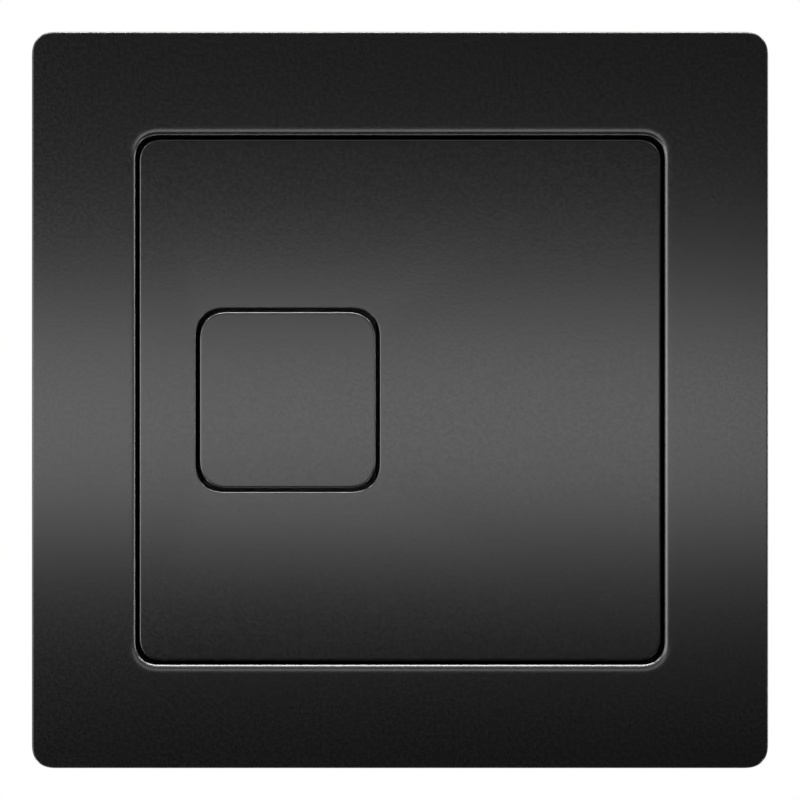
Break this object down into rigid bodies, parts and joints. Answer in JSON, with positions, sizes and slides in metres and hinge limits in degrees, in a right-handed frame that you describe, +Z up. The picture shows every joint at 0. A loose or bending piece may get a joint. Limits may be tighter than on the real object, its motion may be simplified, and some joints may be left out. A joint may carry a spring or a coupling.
{
  "type": "flush button plate",
  "caption": "Square satin black flush plate for a concealed cistern: a small half flush button set in a large full flush button, each squeezing an air bellows behind the wall.",
  "frame": {"origin": "centre of the back of the wall frame, in the plane of the wall and in the middle of the wall screw holes", "axes": "seen from the front, +X is right and +Z is up; the buttons face -Y, and +Y goes into the wall"},
  "size_m": [0.15, 0.0466, 0.15],
  "materials": {
    "black_abs": "satin",
    "grey_abs": "matt",
    "dark_grey_abs": "matt",
    "white_acetal": "satin",
    "black_rubber": "matt",
    "foam": "matt",
    "screw_steel": "zinc plated"
  },
  "bodies": {
    "chassis": {"cover_frame": "black_abs", "wall_frame": "grey_abs", "wall_foam_strips": "foam", "mechanism_tray": "dark_grey_abs", "tray_seal": "black_rubber", "tray_screws": "screw_steel", "full_flush_bellows": "black_rubber", "half_flush_bellows": "black_rubber", "full_flush_air_base": "white_acetal", "half_flush_air_base": "white_acetal", "full_flush_retainer": "white_acetal", "half_flush_retainer": "white_acetal", "full_flush_lock_nut": "white_acetal", "half_flush_lock_nut": "white_acetal", "full_stop_pads": "black_rubber", "half_stop_pads": "black_rubber"},
    "full_button": {"full_flush_button": "black_abs", "full_guide_clips": "white_acetal"},
    "half_button": {"half_flush_button": "black_abs", "half_guide_clips": "white_acetal"}
  },
  "joints": [
    {"name": "full_flush_press", "type": "slide", "parent": "chassis", "child": "full_button", "axis": [0, 1, 0], "range_m": [0, 0.005], "stiffness_N_per_m": 600, "springref_m": -0.008, "deforming": ["full_flush_bellows"]},
    {"name": "half_flush_press", "type": "slide", "parent": "chassis", "child": "half_button", "axis": [0, 1, 0], "range_m": [0, 0.005], "stiffness_N_per_m": 450, "springref_m": -0.008, "deforming": ["half_flush_bellows"]}
  ]
}
